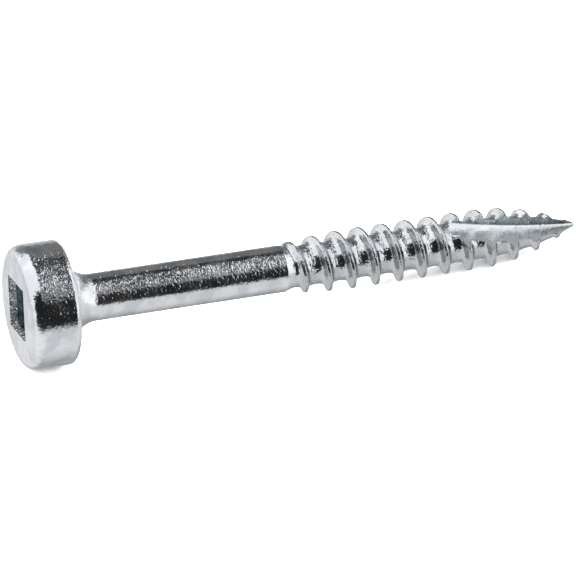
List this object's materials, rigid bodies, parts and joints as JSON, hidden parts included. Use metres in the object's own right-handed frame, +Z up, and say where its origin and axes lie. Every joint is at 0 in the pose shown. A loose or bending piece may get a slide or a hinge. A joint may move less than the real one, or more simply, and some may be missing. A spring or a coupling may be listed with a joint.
{
  "type": "pocket hole screw",
  "caption": "Pocket hole wood screw with a thick flat-bearing round head, square recess, plain shank, coarse thread and a fluted self-drilling point.",
  "frame": {"origin": "on the table the screw lies on, under the middle of its bounding box", "axes": "+X along the screw from head to point, with the axis about four degrees nose down; +Z up from the table; the head's rim and a thread crest touch z = 0"},
  "size_m": [0.0348, 0.0074, 0.0075],
  "materials": {
    "zinc_plate": "bright clear zinc plate on carbon steel, finely pitted, with a slight blue tint"
  },
  "bodies": {
    "root": {"screw": "zinc_plate"}
  },
  "joints": []
}
